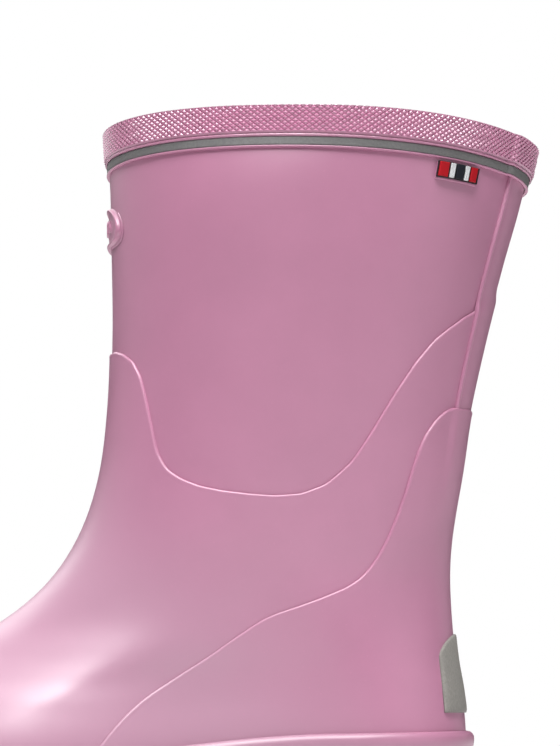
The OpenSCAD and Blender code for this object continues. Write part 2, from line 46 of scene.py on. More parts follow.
# ---------------------------------------------------------------- surface of the rubber, mm
# The same rings as in part.scad, from the feather line (0) to the rim (14): back x and z,
# front x and z, half width at heel and toe, length shares of the round ends, their
# roundness, sag under the chord, sideways bend.
RINGS = np.array([
    [-83.9, 17.0, 101.3, 13.5, 27.5, 35.0, 0.17, 0.70, 2.1, 2.1, 5.0, 1.0],
    [-85.2, 24.0, 103.5, 20.0, 29.0, 36.5, 0.17, 0.70, 2.1, 2.1, 5.0, 1.0],
    [-85.2, 33.0, 100.5, 31.0, 29.0, 35.0, 0.18, 0.68, 2.1, 2.05, 4.5, 1.0],
    [-84.3, 42.0, 91.5, 40.0, 28.5, 32.0, 0.20, 0.64, 2.05, 2.0, 3.8, 0.85],
    [-83.1, 49.5, 77.6, 45.6, 28.5, 30.0, 0.23, 0.60, 2.0, 2.0, 3.0, 0.6],
    [-82.3, 57.0, 60.2, 51.6, 29.0, 29.5, 0.28, 0.56, 2.0, 2.0, 2.2, 0.35],
    [-81.7, 65.0, 43.1, 59.6, 30.0, 29.5, 0.36, 0.53, 2.0, 2.0, 1.3, 0.15],
    [-81.7, 74.0, 29.4, 70.8, 31.2, 30.8, 0.44, 0.51, 2.0, 2.0, 0.5, 0],
    [-82.6, 85.0, 20.6, 84.3, 33.1, 32.6, 0.48, 0.50, 2.0, 2.0, 0, 0],
    [-84.8, 99.0, 15.3, 101.0, 34.8, 34.8, 0.50, 0.50, 2.0, 2.0, 0, 0],
    [-87.5, 118.0, 13.0, 120.5, 36.9, 36.9, 0.50, 0.50, 2.0, 2.0, 0, 0],
    [-92.6, 140.0, 12.6, 142.5, 39.3, 39.3, 0.50, 0.50, 2.0, 2.0, 0, 0],
    [-98.6, 162.0, 13.1, 164.5, 41.6, 41.6, 0.50, 0.50, 2.0, 2.0, 0, 0],
    [-104.1, 180.2, 13.6, 182.8, 42.2, 42.0, 0.50, 0.50, 1.87, 2.0, 0.17, 0],
    [-108.4, 197.5, 14.7, 200.3, 42.4, 38.8, 0.50, 0.50, 1.75, 2.0, 0.35, 0],
])
SHIFT_X = 1.75
RINGS[:, [0, 2]] += SHIFT_X
LAST = len(RINGS) - 1
# Height between the last two rings, mm.
RIM_STEP = 17.4

# Upper edges of the vamp and the heel counter: angle from the back in degrees, ring number.
VAMP_EDGE = np.array([
    [0, 11.62], [14, 11.5], [27.5, 11.28], [34, 11.16], [41, 10.98], [46, 10.83], [52, 10.54],
    [58, 10.13], [64, 9.63], [70, 9.15], [77, 8.78], [84, 8.61], [92, 8.57], [100, 8.6],
    [108, 8.65], [116, 8.73], [123, 8.85], [129, 9.0], [134, 9.24], [138, 9.6], [142, 9.98],
    [146, 10.3], [151, 10.5], [158, 10.62], [165, 10.68], [180, 10.71],
])
COUNTER_EDGE = np.array([
    [0, 10.12], [14, 10.11], [22, 10.08], [30, 10.05], [34, 9.99], [38, 9.88], [41, 9.75],
    [44, 9.57], [46, 9.34], [48, 8.98], [50, 8.3], [52, 7.85], [55, 7.3], [58, 6.88],
    [62, 6.59], [68, 6.33], [73, 6.14], [78, 5.97], [81, 5.77], [84, 5.2], [87, 4.2],
    [90, 3.2], [93, 2.2], [96, 1.2], [98, 0.5],
])
COUNTER_END = 98.0
STAY_ANGLE = 27.5
# Where the leg's rubber and lining meet those of the foot, as a ring number.
ANKLE = 5.6

# Thicknesses of the layers, the insole's gap inside the feather line, and the heights of the
# collar's parts from the rim down, in mm.
PLY = 1.6
LINING = 1.1
STIFFENER = 0.65
OVERLAY = 0.7
STAY = 0.8
FOXING = 2.0
BUMPER = 1.1
MIDSOLE = 3.0
BOARD = 1.9
FOAM = 3.6
INSOLE_IN = 4.8
BAND = 0.45
KNURL_H = 8.0
LIP_H = 1.3
TAPE_H = 2.5
BEAD_H = 0.45


def ease(v):
    """Smooth step from 0 to 1."""
    c = np.clip(v, 0, 1)
    return c * c * (3 - 2 * c)


def fold(a):
    """Angle folded onto one side, 0 at the back to pi at the front."""
    m = np.mod(a, 2 * np.pi)
    return np.where(m > np.pi, 2 * np.pi - m, m)


def ring(t):
    """Catmull-Rom between the rings, carried on past both ends."""
    t = np.asarray(t, float)
    i = np.clip(np.floor(t).astype(int), 0, LAST - 1)
    f = (t - i)[..., None]
    padded = np.vstack([2 * RINGS[0] - RINGS[1], RINGS, 2 * RINGS[-1] - RINGS[-2]])
    a, b, c, d = (padded[i + k] for k in range(4))
    return 0.5 * (2 * b + (c - a) * f + (2 * a - 5 * b + 4 * c - d) * f**2
                  + (3 * b - a - 3 * c + d) * f**3)


def on_ring(a, t):
    """Point on the rubber at an angle around the boot and a ring number."""
    a, t = np.broadcast_arrays(np.asarray(a, float), np.asarray(t, float))
    r = np.moveaxis(ring(t), -1, 0)
    s = (1 - np.cos(a)) / 2
    heel = np.clip((r[6] - s) / r[6], 0, 1)
    toe = np.clip((s - r[7]) / (1 - r[7]), 0, 1)
    ends = np.where(s < r[6], np.maximum(1 - heel**r[8], 0)**(1 / r[8]), 1)
    ends = ends * np.where(s > r[7], np.maximum(1 - toe**r[9], 0)**(1 / r[9]), 1)
    w = (r[4] + (r[5] - r[4]) * ease((s - 0.15) / 0.55)) * ends
    swing = np.sin(np.pi * np.clip((s - 0.35) / 0.55, 0, 1))
    bend = r[11] * (3 * swing**2 - 9 * ease((s - 0.62) / 0.38))
    dip = np.sin(np.pi * np.clip((s - 0.2) / 0.8, 0, 1))
    x = r[0] + (r[2] - r[0]) * s
    y = np.where(np.sin(a) >= 0, w, -w) + bend
    z = r[1] + (r[3] - r[1]) * s - r[10] * dip**2
    return np.stack([x, y, z], -1)


def unit(v):
    return v / np.maximum(np.linalg.norm(v, axis=-1, keepdims=True), 1e-9)


def slopes(a, t):
    """How the rubber's points move with the angle and with the ring number."""
    along = (on_ring(a + 0.003, t) - on_ring(a - 0.003, t)) / 0.006
    up = (on_ring(a, t + 0.01) - on_ring(a, t - 0.01)) / 0.02
    return along, up


def out(a, t):
    """Unit normal of the rubber, pointing out."""
    along, up = slopes(a, t)
    return unit(np.cross(up, along))


def skin(a, t, d):
    """Point at an offset from the rubber, which may be an array."""
    d = np.asarray(d, float)
    return on_ring(a, t) + out(a, t) * d[..., None]


def wave(a, t):
    """Slow hand-made unevenness of the rubber, about a tenth of a millimetre."""
    return (0.06 * np.sin(5 * a + 1.3 * t) + 0.05 * np.sin(3 * a - 2.1 * t + 1)
            + 0.03 * np.sin(11 * a + 0.7 * t + 2) * np.sin(2.3 * t))


def edge_at(table, a):
    """Smooth height of an overlay's edge at an angle in radians."""
    deg = np.arange(-30, 211, 0.5)
    rough = np.interp(np.abs(np.where(deg > 180, 360 - deg, deg)), table[:, 0], table[:, 1])
    kernel = np.hanning(11)
    kernel /= kernel.sum()
    smooth = np.convolve(np.pad(rough, 5, mode="edge"), kernel, mode="valid")
    return np.interp(np.degrees(fold(a)), deg, smooth)


def below(h):
    """Ring number at a distance under the rim."""
    return LAST - h / RIM_STEP


def rise(a):
    """How far the collar's layers stand out where they pass over the back stay."""
    return (STAY + 0.12) * ease((np.radians(STAY_ANGLE + 4) - fold(a)) / np.radians(3.5))


# ---------------------------------------------------------------- mesh helpers
def new_object(name, verts, faces):
    """Smooth object from points in mm."""
    mesh = bpy.data.meshes.new(name)
    mesh.from_pydata([tuple(p) for p in np.asarray(verts) * MM], [], faces)
    mesh.validate()
    mesh.polygons.foreach_set("use_smooth", [True] * len(mesh.polygons))
    mesh.update()
    obj = bpy.data.objects.new(name, mesh)
    bpy.context.scene.collection.objects.link(obj)
    return obj


def sharpen(obj, degrees=38):
    """Marks creases sharper than an angle, so that flat faces stay flat."""
    obj.data.set_sharp_from_angle(angle=math.radians(degrees))
    return obj


def grid_faces(rows, cols, closed, start=0, flip=False):
    faces = []
    last = cols if closed else cols - 1
    for r in range(rows - 1):
        for c in range(last):
            e = (c + 1) % cols
            p, q = start + r * cols, start + (r + 1) * cols
            quad = (p + c, p + e, q + e, q + c)
            faces.append(quad if flip else quad[::-1])
    return faces


def shell_mesh(outer, inner, closed=True):
    """Points and faces of a solid between two grids of points, each (rows, columns, 3)."""
    ro, cols = outer.shape[:2]
    ri = inner.shape[0]
    base = ro * cols
    faces = grid_faces(ro, cols, closed)
    faces += grid_faces(ri, cols, closed, base, True)
    last = cols if closed else cols - 1
    top_o, top_i = (ro - 1) * cols, base + (ri - 1) * cols
    for c in range(last):
        e = (c + 1) % cols
        faces.append((c, e, base + e, base + c))
        faces.append((top_o + c, top_i + c, top_i + e, top_o + e))
    if not closed:
        for m, flip in ((0, False), (cols - 1, True)):
            side_o = [r * cols + m for r in range(ro)]
            side_i = [base + r * cols + m for r in range(ri)]
            loop = side_o + side_i[::-1]
            faces.append(tuple(loop if flip else loop[::-1]))
    return np.vstack([outer.reshape(-1, 3), inner.reshape(-1, 3)]), faces


def shell(name, outer, inner, closed=True):
    return new_object(name, *shell_mesh(outer, inner, closed))


def stack_mesh(grid):
    """Points and faces of a stack of rings, each end closed by strips across it."""
    rows, cols = grid.shape[:2]
    faces = grid_faces(rows, cols, True)
    half, top = cols // 2, (rows - 1) * cols
    for c in range(half):
        e, m, k = c + 1, (cols - c) % cols, cols - c - 1
        if c == 0:
            faces += [(c, e, k), (top + c, top + k, top + e)]
        elif e == half:
            faces += [(c, e, m), (top + c, top + m, top + e)]
        else:
            faces += [(c, e, k, m), (top + c, top + m, top + k, top + e)]
    return grid.reshape(-1, 3), faces


def joined(name, parts):
    """One object from several closed meshes, with its faces turned outwards."""
    verts, faces, base = [], [], 0
    for points, polys in parts:
        verts.append(points)
        faces += [tuple(base + i for i in poly) for poly in polys]
        base += len(points)
    obj = new_object(name, np.vstack(verts), faces)
    mesh = bmesh.new()
    mesh.from_mesh(obj.data)
    bmesh.ops.recalc_face_normals(mesh, faces=mesh.faces)
    mesh.to_mesh(obj.data)
    mesh.free()
    return obj


def column_angles(n):
    """Angles of a full turn, evenly spaced."""
    return np.arange(n) * 2 * np.pi / n


def even_columns(table, n, end=None):
    """Angles that step evenly along an overlay's edge."""
    span = np.pi if end is None else np.radians(end)
    fine = np.linspace(-span, span, 6001)
    p = on_ring(fine, edge_at(table, fine))
    length = np.concatenate([[0], np.cumsum(np.linalg.norm(np.diff(p, axis=0), axis=1))])
    steps = np.linspace(0, length[-1], n + 1 if end is None else n)
    angles = np.interp(steps, length, fine)
    return angles[:-1] if end is None else angles


# Rounded lip of a bonded overlay: distance in from the edge, share of the thickness.
LIP = [
    (0, 0.0), (0, 0.35), (0.07, 0.62), (0.18, 0.84), (0.34, 0.98), (0.55, 1.05), (0.8, 1.05),
    (1.1, 1.01), (1.5, 1.0), (2.1, 1.0), (2.8, 1.0),
]


def inward(a, t, closed):
    """Angle and ring number per millimetre, square to the edge and down the overlay."""
    p = on_ring(a, t)
    if closed:
        ahead, behind = np.roll(p, -1, 0), np.roll(p, 1, 0)
        tangent = unit(ahead - behind)
    else:
        tangent = unit(np.gradient(p, axis=0))
    along, up = slopes(a, t)
    n = unit(np.cross(up, along))
    side = unit(np.cross(n, tangent))
    side *= np.where((side * up).sum(-1, keepdims=True) > 0, -1, 1)
    g11, g12, g22 = (along * along).sum(-1), (along * up).sum(-1), (up * up).sum(-1)
    b1, b2 = (along * side).sum(-1), (up * side).sum(-1)
    det = g11 * g22 - g12**2
    return (b1 * g22 - b2 * g12) / det, (b2 * g11 - b1 * g12) / det


def overlay(name, table, n, end, base, thick, rows=60, extra=None):
    """Bonded sheet with a rounded edge that follows a curve on the rubber."""
    a = even_columns(table, n, end)
    t = edge_at(table, a)
    closed = end is None
    da, dt = inward(a, t, closed)
    grid = [(a + da * v, t + dt * v, np.full_like(a, thick * share)) for v, share in LIP]
    a_in, t_in = grid[-1][0], grid[-1][1]
    for f in np.linspace(0, 1, rows + 1)[1:]:
        grid.append((a_in, t_in - t_in * f, np.full_like(a, thick)))
    outer = []
    for ga, gt, gd in grid[::-1]:
        gt = np.maximum(gt, 0)
        more = extra(ga, gt) if extra else 0
        outer.append(skin(ga, gt, base + gd + wave(ga, gt) * (gd > 0) + more))
    inner = [skin(a, t * f, np.full_like(a, base)) for f in np.linspace(0, 1, 12)]
    return shell(name, np.array(outer), np.array(inner), closed)


# ---------------------------------------------------------------- material helpers
def material(name, color, rough, spec):
    """New material, its node tree and its shader."""
    mat = bpy.data.materials.new(name)
    mat.use_nodes = True
    nt = mat.node_tree
    nt.nodes.clear()
    shader = nt.nodes.new("ShaderNodeBsdfPrincipled")
    end = nt.nodes.new("ShaderNodeOutputMaterial")
    nt.links.new(shader.outputs[0], end.inputs[0])
    shader.inputs["Base Color"].default_value = (*color, 1)
    shader.inputs["Roughness"].default_value = rough
    shader.inputs["Specular IOR Level"].default_value = spec
    return mat, nt, shader


def noise(nt, scale, detail, rough):
    place = nt.nodes.new("ShaderNodeTexCoord")
    tex = nt.nodes.new("ShaderNodeTexNoise")
    tex.inputs["Scale"].default_value = scale
    tex.inputs["Detail"].default_value = detail
    tex.inputs["Roughness"].default_value = rough
    nt.links.new(place.outputs["Object"], tex.inputs["Vector"])
    return tex.outputs["Fac"]


def ramp(nt, source, stops):
    node = nt.nodes.new("ShaderNodeValToRGB")
    el = node.color_ramp.elements
    while len(el) < len(stops):
        el.new(0.5)
    for e, (pos, color) in zip(el, stops):
        e.position = pos
        e.color = (*color, 1)
    nt.links.new(source, node.inputs["Fac"])
    return node.outputs["Color"]


def blend_color(nt, factor, a, b, mode="MIX", amount=None):
    node = nt.nodes.new("ShaderNodeMix")
    node.data_type = "RGBA"
    node.blend_type = mode
    if factor is not None:
        nt.links.new(factor, node.inputs[0])
    else:
        node.inputs[0].default_value = amount
    for socket, value in ((node.inputs[6], a), (node.inputs[7], b)):
        if isinstance(value, tuple):
            socket.default_value = (*value, 1)
        else:
            nt.links.new(value, socket)
    return node.outputs[2]


def scaled(nt, value, low, high):
    """A value from 0 to 1 stretched to run from low to high."""
    node = nt.nodes.new("ShaderNodeMapRange")
    node.inputs["To Min"].default_value = low
    node.inputs["To Max"].default_value = high
    nt.links.new(value, node.inputs["Value"])
    return node.outputs["Result"]


def bump(nt, shader, height, strength, distance, chain=None):
    node = nt.nodes.new("ShaderNodeBump")
    node.inputs["Strength"].default_value = strength
    node.inputs["Distance"].default_value = distance
    nt.links.new(height, node.inputs["Height"])
    if chain is not None:
        nt.links.new(chain, node.inputs["Normal"])
    nt.links.new(node.outputs["Normal"], shader.inputs["Normal"])
    return node.outputs["Normal"]


def tint(color, k):
    """Colour made lighter or darker by a factor."""
    return tuple(min(c * k, 1) for c in color)


# Where the painted sheen over the instep starts and where it is full, as x minus z in metres.
INSTEP_SHEEN_SPAN = (-0.11, -0.045)


def painted_instep_sheen(nt):
    """Grows from 0 on the leg to 1 over the instep, where a whitish sheen is painted in for the gloss
    of the lights above.
    """
    place = nt.nodes.new("ShaderNodeTexCoord")
    parts = nt.nodes.new("ShaderNodeSeparateXYZ")
    nt.links.new(place.outputs["Object"], parts.inputs[0])
    forward = nt.nodes.new("ShaderNodeMath")
    forward.operation = "SUBTRACT"
    nt.links.new(parts.outputs["X"], forward.inputs[0])
    nt.links.new(parts.outputs["Z"], forward.inputs[1])
    fade = nt.nodes.new("ShaderNodeMapRange")
    fade.interpolation_type = "SMOOTHSTEP"
    fade.inputs["From Min"].default_value = INSTEP_SHEEN_SPAN[0]
    fade.inputs["From Max"].default_value = INSTEP_SHEEN_SPAN[1]
    nt.links.new(forward.outputs[0], fade.inputs["Value"])
    return fade.outputs["Result"]


def rubber(name, color, rough=0.40, mottle=0.045):
    """Satin natural rubber: cloudy colour, paler over the instep as painted sheen, fine grain, a few
    specks.
    """
    mat, nt, shader = material(name, color, rough, 0.8)
    shader.inputs["Coat Weight"].default_value = 0.65
    shader.inputs["Coat Roughness"].default_value = 0.42
    cloud = noise(nt, 38, 4, 0.55)
    fine = noise(nt, 900, 3, 0.6)
    base = ramp(nt, cloud, [(0.3, tint(color, 1 - mottle)), (0.7, tint(color, 1 + mottle))])
    speck = ramp(nt, noise(nt, 2600, 2, 0.5), [(0.68, (0, 0, 0)), (0.76, (1, 1, 1))])
    # Painted sheen: the colour turns paler and less red over the instep, standing in for the gloss of
    # the lights above.
    pale = blend_color(nt, painted_instep_sheen(nt), base, (color[0] * 0.95, color[1] * 1.21, color[2] * 1.06))
    mixed = blend_color(nt, speck, pale, tint(color, 1.12))
    nt.links.new(mixed, shader.inputs["Base Color"])
    nt.links.new(scaled(nt, noise(nt, 160, 4, 0.6), rough - 0.05, rough + 0.06),
                 shader.inputs["Roughness"])
    first = bump(nt, shader, noise(nt, 60, 3, 0.5), 0.10, 0.0006)
    bump(nt, shader, fine, 0.10, 0.00008, first)
    return mat


def knurl_rubber(name, color):
    """Glossier rubber, with painted shade down in the valleys between the diamonds and a painted
    highlight on their points.
    """
    mat, nt, shader = material(name, color, 0.3, 0.9)
    shader.inputs["Coat Weight"].default_value = 0.6
    shader.inputs["Coat Roughness"].default_value = 0.25
    knurl_light_mask = nt.nodes.new("ShaderNodeAttribute")
    knurl_light_mask.attribute_name = "knurl_light_mask"
    # Painted shade and highlight: the valleys turn deeper and darker, the points lighter, following
    # the knurl's mask.
    valley_shade = (color[0] * 0.85, color[1] * 0.5, color[2] * 0.7)
    base = ramp(nt, knurl_light_mask.outputs["Fac"], [(0.0, valley_shade), (0.4, color), (1.0, tint(color, 1.2))])
    cloudy = ramp(nt, noise(nt, 300, 3, 0.6), [(0.3, (0.92, 0.92, 0.92)), (0.7, (1.05, 1.05, 1.05))])
    nt.links.new(blend_color(nt, None, base, cloudy, "MULTIPLY", 1.0), shader.inputs["Base Color"])
    nt.links.new(scaled(nt, noise(nt, 500, 3, 0.6), 0.24, 0.36), shader.inputs["Roughness"])
    bump(nt, shader, noise(nt, 900, 3, 0.6), 0.1, 0.00008)
    return mat


def tape_cloth(name, color):
    """Grey reflective tape: fine grain of glass beads, slightly cloudy."""
    mat, nt, shader = material(name, color, 0.62, 0.3)
    grain = noise(nt, 1400, 3, 0.7)
    slow = noise(nt, 45, 3, 0.5)
    base = ramp(nt, grain, [(0.3, tint(color, 0.86)), (0.7, tint(color, 1.14))])
    cloudy = ramp(nt, slow, [(0.3, (0.9, 0.9, 0.9)), (0.7, (1.08, 1.08, 1.08))])
    nt.links.new(blend_color(nt, None, base, cloudy, "MULTIPLY", 1.0), shader.inputs["Base Color"])
    nt.links.new(scaled(nt, grain, 0.5, 0.7), shader.inputs["Roughness"])
    bump(nt, shader, grain, 0.35, 0.00012)
    return mat


def knit(name, color):
    """Fine weft knit: small staggered loops, soft and matt."""
    mat, nt, shader = material(name, color, 0.9, 0.15)
    place = nt.nodes.new("ShaderNodeTexCoord")
    loops = nt.nodes.new("ShaderNodeTexVoronoi")
    loops.inputs["Scale"].default_value = 900
    nt.links.new(place.outputs["Object"], loops.inputs["Vector"])
    base = ramp(nt, loops.outputs["Distance"], [(0.0, tint(color, 1.05)), (0.6, tint(color, 0.78))])
    fuzz = ramp(nt, noise(nt, 120, 4, 0.6), [(0.3, (0.9, 0.9, 0.9)), (0.7, (1.05, 1.05, 1.05))])
    nt.links.new(blend_color(nt, None, base, fuzz, "MULTIPLY", 1.0), shader.inputs["Base Color"])
    shader.inputs["Sheen Weight"].default_value = 0.25
    nt.links.new(scaled(nt, noise(nt, 300, 2, 0.5), 0.85, 0.98), shader.inputs["Roughness"])
    bump(nt, shader, loops.outputs["Distance"], 0.5, 0.0004)
    return mat


def plastic(name, color, rough=0.35):
    """Moulded plastic or enamel with slight unevenness."""
    mat, nt, shader = material(name, color, rough, 0.3)
    base = ramp(nt, noise(nt, 220, 3, 0.6), [(0.3, tint(color, 0.88)), (0.7, tint(color, 1.12))])
    nt.links.new(base, shader.inputs["Base Color"])
    nt.links.new(scaled(nt, noise(nt, 700, 3, 0.6), rough - 0.05, rough + 0.1),
                 shader.inputs["Roughness"])
    bump(nt, shader, noise(nt, 500, 3, 0.6), 0.15, 0.0001)
    return mat


def srgb(r, g, b):
    """Linear colour from the 0 to 255 numbers of a colour picker."""
    def lin(v):
        v /= 255
        return v / 12.92 if v <= 0.04045 else ((v + 0.055) / 1.055) ** 2.4
    return tuple(lin(v) for v in (r, g, b))


PINK = (0.49, 0.202, 0.324)
M_PINK = rubber("pink_rubber", PINK)
M_OVER = rubber("pink_rubber_overlay", tint(PINK, 1.03))
M_FOXING = rubber("foxing_rubber", tint(PINK, 0.93), 0.45)
M_SOLE = rubber("sole_rubber", tint(PINK, 0.85), 0.55)
M_KNURL = knurl_rubber("knurl_rubber", tint(PINK, 1.06))
M_TAPE = tape_cloth("collar_tape", srgb(111, 110, 110))
M_LINING = knit("lining_knit", srgb(205, 196, 198))
M_INSOLE = knit("insole_cloth", srgb(150, 146, 152))
M_FOAM = plastic("insole_foam", srgb(226, 220, 200), 0.85)
M_BLACK = plastic("tag_black", srgb(14, 14, 17), 0.45)
M_RED = plastic("tag_red", srgb(170, 0, 20), 0.5)
M_WHITE = plastic("tag_white", srgb(206, 208, 210), 0.45)
M_NAVY = plastic("tag_navy", srgb(18, 22, 32), 0.45)
M_REFLECT = tape_cloth("reflector", srgb(141, 138, 133))
M_FILLER = plastic("filler_foam", srgb(70, 68, 70), 0.9)
M_BOARD = plastic("board", srgb(176, 150, 112), 0.9)


def dress(obj, mat, body, *nodes, slot=None):
    """Gives a piece its material and its body and hides the CAD nodes it stands for; slot is not used.
    """
    obj.data.materials.clear()
    obj.data.materials.append(mat)
    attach(obj, body)
    if nodes:
        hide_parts(*nodes)
    return obj


# ---------------------------------------------------------------- rubber layers
def make_leg():
    a = column_angles(320)
    outer = np.array([skin(a, np.full_like(a, t), wave(a, t)) for t in np.linspace(ANKLE, LAST, 100)])
    inner = np.array([skin(a, np.full_like(a, t), np.full_like(a, -PLY))
                      for t in np.linspace(ANKLE, LAST, 30)])
    dress(shell("leg_rubber", outer, inner), M_PINK, BOOT, "leg_upper", slot="pink_rubber")


def make_vamp():
    obj = overlay("vamp_sheet", VAMP_EDGE, 820, None, 0.02, OVERLAY)
    dress(obj, M_OVER, BOOT, "vamp_overlay", slot="pink_rubber")


def counter_rise(a, t):
    """The counter rides up over the back stay's lower end."""
    side = ease((np.radians(STAY_ANGLE + 4) - fold(a)) / np.radians(5))
    return 0.6 * side * ease((t - 8.6) / 1.1)


def make_counter():
    obj = overlay("heel_counter_sheet", COUNTER_EDGE, 620, COUNTER_END, OVERLAY + 0.02, OVERLAY,
                  rows=50, extra=counter_rise)
    dress(obj, M_OVER, BOOT, "heel_counter", slot="pink_rubber")


# Cross-section of the stay's side: distance in from its edge, share of its height.
STAY_FULL = 0.97
STAY_SIDE = [
    (0, 0.0), (0, 0.45), (0.1, 0.78), (0.28, 1.0), (0.55, 1.1), (0.85, 1.08), (1.1, 0.95),
    (1.3, 0.8), (1.5, 0.76), (1.8, 0.8), (2.4, 0.86), (3.4, 0.9), (5, 0.93), (7.5, 0.95),
    (10.5, 0.96), (14, STAY_FULL),
]


def make_stay():
    rows = np.concatenate([np.linspace(9.85, 10.2, 14), np.linspace(10.24, 11.1, 22),
                           np.linspace(11.12, 11.95, 44), np.linspace(12, LAST - 0.02, 44)])
    edge = np.radians(STAY_ANGLE)
    fine = np.linspace(0, edge, 60)
    # One side's columns, the middle one, and the other side's in reverse.
    half = [(edge, v, h) for v, h in STAY_SIDE]
    cols = half + [(edge, None, STAY_FULL)] + [(-e, v, h) for e, v, h in half[::-1]]
    h = np.array([h for _, _, h in cols])
    outer, inner = [], []
    for t in rows:
        arc = np.linalg.norm(np.diff(on_ring(fine, t), axis=0), axis=1).sum()
        a = np.array([0.0 if v is None else e * (1 - v / arc) for e, v, _ in cols])
        # Below the vamp's edge the strip lies on the vamp; its foot thins out under the counter.
        gap = edge_at(VAMP_EDGE, a) - t
        seat = OVERLAY * ease((gap + 0.12) / 0.14)
        drape = OVERLAY * ease((gap + 0.14) / 0.2)
        tuck = ease((t - 9.8) / 0.3)
        ti = np.full_like(a, t)
        thick = h * tuck * STAY / STAY_FULL
        outer.append(skin(a, ti, 0.02 + drape + thick + wave(a, ti) * (h > 0.3)))
        inner.append(skin(a, ti, seat))
    outer, inner = np.array(outer)[:, ::-1], np.array(inner)[:, ::-1]
    obj = shell("back_stay_strip", outer, inner, False)
    dress(obj, M_OVER, BOOT, "back_stay", slot="pink_rubber")


# ---------------------------------------------------------------- collar
TAPE_TOP = KNURL_H + LIP_H + 0.1
TAPE_FOOT = TAPE_TOP + TAPE_H
BAND_FOOT = TAPE_FOOT + 0.1 + BEAD_H


def lathe(name, profile, cols, inner_d, mat, node, slot):
    """Band around the leg from a profile of (distance under the rim, offset)."""
    a = column_angles(cols)
    outer = np.array([skin(a, np.full_like(a, below(h)), d + rise(a)) for h, d in profile])
    lo, hi = profile[0][0], profile[-1][0]
    inner = np.array([skin(a, np.full_like(a, below(h)), inner_d + rise(a))
                      for h in np.linspace(lo, hi, 6)])
    return dress(shell(name, outer, inner), mat, BOOT, node, slot=slot)


def make_collar_band():
    f = BAND_FOOT
    profile = [
        (f, 0.05), (f, 0.62), (f - 0.03, 0.78), (f - 0.11, 0.87), (f - 0.22, 0.9),
        (f - 0.33, 0.87), (f - 0.42, 0.76), (f - 0.46, 0.62), (f - 0.48, BAND), (TAPE_TOP, BAND),
        (TAPE_TOP - 0.05, BAND), (4, BAND), (0.2, BAND), (0.05, BAND - 0.05), (0, BAND - 0.15),
    ]
    lathe("collar_band_rubber", profile, 360, 0.02, M_PINK, "collar_band", "pink_rubber")


def make_tape():
    t0, t1, d = TAPE_FOOT - 0.03, TAPE_TOP + 0.03, BAND + 0.26
    profile = [(t0, BAND + 0.02), (t0, d - 0.15), (t0 - 0.08, d - 0.03), (t0 - 0.2, d)]
    profile += [(t0 + (t1 - t0) * f, d) for f in (0.25, 0.5, 0.75)]
    profile += [(t1 + 0.2, d), (t1 + 0.08, d - 0.03), (t1, d - 0.15), (t1, BAND + 0.02)]
    lathe("collar_tape_strip", profile, 360, BAND + 0.015, M_TAPE, "collar_tape", "collar_tape")


# The knurl's columns around the rim, its rows, how far its valleys stand off the band and
# how high its points rise from them, in mm.
KNURL_COLS = 336
KNURL_ROWS = 10
KNURL_DEPTH = 0.6
KNURL_RELIEF = 0.48


def lap(a):
    """Extra thickness where the knurled band's end overlaps at the back."""
    return 0.15 * ease((np.radians(17) - fold(a)) / np.radians(3))


def make_knurl():
    a = even_columns(np.array([[0, LAST], [180, LAST]]), KNURL_COLS)
    low = BAND + KNURL_DEPTH
    foot = KNURL_H + LIP_H
    seat = rise(a)
    rows = []
    plain = [
        (foot, BAND + 0.02), (foot, low - 0.2), (foot - 0.08, low), (foot - 0.25, low + 0.08),
        (foot - 0.5, low + 0.05), (foot - 0.62, low - 0.35), (KNURL_H + 0.3, low - 0.38),
        (KNURL_H + 0.14, low), (KNURL_H, low + 0.15),
    ]
    for h, d in plain:
        rows.append(skin(a, np.full_like(a, below(h)), d + seat + lap(a) * (d > BAND + 0.1)))
    step = (KNURL_H - 0.35) / KNURL_ROWS
    for k in range(KNURL_ROWS + 1):
        h = KNURL_H - 0.12 - k * step
        up = (np.arange(KNURL_COLS) + k) % 2 == 0
        size = KNURL_RELIEF * (1 + 0.12 * np.sin(np.arange(KNURL_COLS) * 12.9 + k * 7.7))
        rows.append(skin(a, np.full_like(a, below(h)), low + seat + lap(a) + np.where(up, size, 0.0)))
    first, last = len(plain), len(rows) - 1
    for h, d in ((0.12, low + 0.1), (0.02, low - 0.1), (0, low - 0.3)):
        rows.append(skin(a, np.full_like(a, below(h)), d + seat + lap(a)))
    outer = np.array(rows)
    inner = np.array([skin(a, np.full_like(a, below(h)), BAND + 0.02 + seat)
                      for h in np.linspace(foot, 0, 4)])
    obj = shell("collar_knurl_band", outer, inner)
    split_diamonds(obj, first, last)
    dress(obj, M_KNURL, BOOT, "collar_knurl", slot="pink_rubber")


def split_diamonds(obj, first, last):
    """Splits each square of the knurl between its two low corners, so points are pyramids."""
    n = KNURL_COLS
    faces, soft = [], []
    for poly in obj.data.polygons:
        v = list(poly.vertices)
        rows = sorted({i // n for i in v})
        if len(v) == 4 and len(rows) == 2 and first <= rows[0] and rows[1] <= last:
            high = (v[0] % n + v[0] // n - first) % 2 == 0
            v = v[1:] + v[:1] if high else v
            faces += [(v[0], v[1], v[2]), (v[0], v[2], v[3])]
            soft += [False, False]
        else:
            faces.append(tuple(v))
            soft.append(True)
    verts = [tuple(p.co) for p in obj.data.vertices]
    # Mask for the knurl's painted shade and highlight: 1 on the points, 0 in the valleys, 0.4 off the
    # diamonds.
    knurl_light_mask = []
    for i in range(len(verts)):
        row, col = i // n, i % n
        knurl_light_mask.append(float((row - first + col) % 2 == 0) if first <= row <= last else 0.4)
    obj.data.clear_geometry()
    obj.data.from_pydata(verts, [], faces)
    obj.data.polygons.foreach_set("use_smooth", soft)
    obj.data.attributes.new("knurl_light_mask", "FLOAT", "POINT").data.foreach_set("value", knurl_light_mask)
    obj.data.update()


